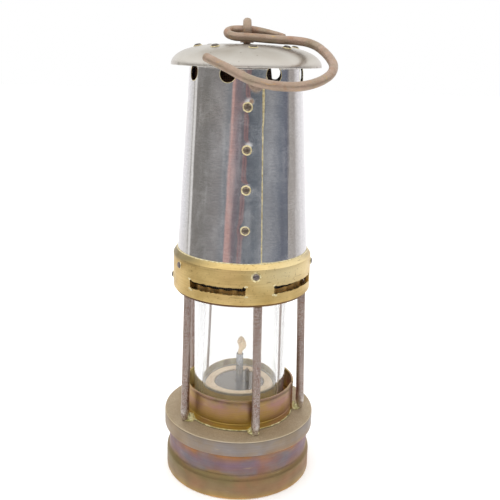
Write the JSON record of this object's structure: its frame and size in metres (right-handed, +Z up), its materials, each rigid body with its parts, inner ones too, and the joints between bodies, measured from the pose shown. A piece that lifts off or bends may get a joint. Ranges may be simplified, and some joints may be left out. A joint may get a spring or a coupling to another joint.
{
  "type": "miner's safety lamp",
  "caption": "Oil-burning flame safety lamp with brass base, glass in a pillar frame, steel bonnet, riveted dome and a swivelling wire hook.",
  "frame": {"origin": "centre of the fuel vessel's flat underside, on the lamp's axis", "axes": "+Z up along the lamp's axis; -Y is the front, where the hook lies at rest; +X to the right seen from the front"},
  "size_m": [0.089, 0.1163, 0.2619],
  "materials": {
    "aged_brass": "old machined brass with a brown patina and violet heat tints",
    "bright_brass": "hand-rubbed brass, gold with fine turning marks",
    "polished_steel": "polished sheet steel with fine rolling scratches",
    "satin_nickel": "satin nickel-plated sheet, worn bright at the rim",
    "rusty_steel": "steel wire and rod with a thin, even brown rust",
    "grey_metal": "dull grey spun metal",
    "clear_glass": "thick clear borosilicate glass",
    "fibre": "tan leather and fibre sealing rings",
    "cotton": "undyed cotton"
  },
  "bodies": {
    "vessel": {"fuel_vessel": "aged_brass", "vessel_wadding": "cotton", "burner_cap": "grey_metal", "burner_sealing_ring": "fibre", "burner_centre_disc": "grey_metal", "wick_tube": "grey_metal", "pricker_tube": "aged_brass"},
    "wick": {"wick": "cotton"},
    "pricker_turning": {"pricker_gland": "bright_brass"},
    "pricker": {"pricker_rod": "rusty_steel", "pricker_knob": "bright_brass"},
    "thread_turning": {"vessel_seal_washer": "fibre"},
    "frame": {"frame_base_ring": "aged_brass", "glass_cup": "aged_brass", "glass_seat_ring": "bright_brass", "lower_glass_gasket": "fibre", "glass_cylinder": "clear_glass", "upper_glass_gasket": "fibre", "upper_plate": "aged_brass", "pillar_1": "rusty_steel", "pillar_2": "rusty_steel", "pillar_3": "rusty_steel", "pillar_4": "rusty_steel", "pillar_5": "rusty_steel", "vent_ring": "bright_brass", "air_baffle": "bright_brass", "gauze_collar": "bright_brass", "ring_screw_1": "rusty_steel", "ring_screw_2": "rusty_steel", "ring_screw_3": "rusty_steel", "ring_screw_4": "rusty_steel", "ring_screw_5": "rusty_steel", "lock_stud": "rusty_steel", "inner_gauze": "grey_metal", "outer_gauze": "grey_metal", "bonnet": "polished_steel", "seam_rivet_1": "bright_brass", "seam_rivet_2": "bright_brass", "seam_rivet_3": "bright_brass", "seam_rivet_4": "bright_brass", "dome": "satin_nickel", "dome_rivet_1": "bright_brass", "dome_rivet_2": "bright_brass", "dome_rivet_3": "bright_brass", "dome_rivet_4": "bright_brass", "dome_rivet_5": "bright_brass", "dome_rivet_6": "bright_brass", "dome_rivet_7": "bright_brass", "dome_rivet_8": "bright_brass"},
    "swivel": {"hook_eye": "rusty_steel", "swivel_nut": "rusty_steel"},
    "hook": {"hook": "rusty_steel"}
  },
  "joints": [
    {"name": "wick_height", "type": "slide", "parent": "vessel", "child": "wick", "axis": [0, 0, 1], "range_m": [-0.001, 0.004]},
    {"name": "pricker_twist", "type": "hinge", "parent": "vessel", "child": "pricker_turning", "pos_m": [0.0046, 0, 0.0195], "axis": [0, 0, 1], "continuous": true},
    {"name": "pricker_push", "type": "slide", "parent": "pricker_turning", "child": "pricker", "axis": [0, 0, 1], "range_m": [0, 0.012]},
    {"name": "frame_unscrew", "type": "hinge", "parent": "vessel", "child": "thread_turning", "pos_m": [0, 0, 0.0278], "axis": [0, 0, 1], "range_deg": [0, 1440]},
    {"name": "frame_lift", "type": "slide", "parent": "thread_turning", "child": "frame", "axis": [0, 0, 1], "range_m": [0, 0.006]},
    {"name": "swivel_turn", "type": "hinge", "parent": "frame", "child": "swivel", "pos_m": [0, 0, 0.2492], "axis": [0, 0, 1], "continuous": true},
    {"name": "hook_swing", "type": "hinge", "parent": "swivel", "child": "hook", "pos_m": [0, 0, 0.2555], "axis": [-1, 0, 0], "range_deg": [0, 140]}
  ],
  "couplings": [
    {"joint": "frame_lift", "follows": "frame_unscrew", "m_per_rad": 0.00023873}
  ]
}
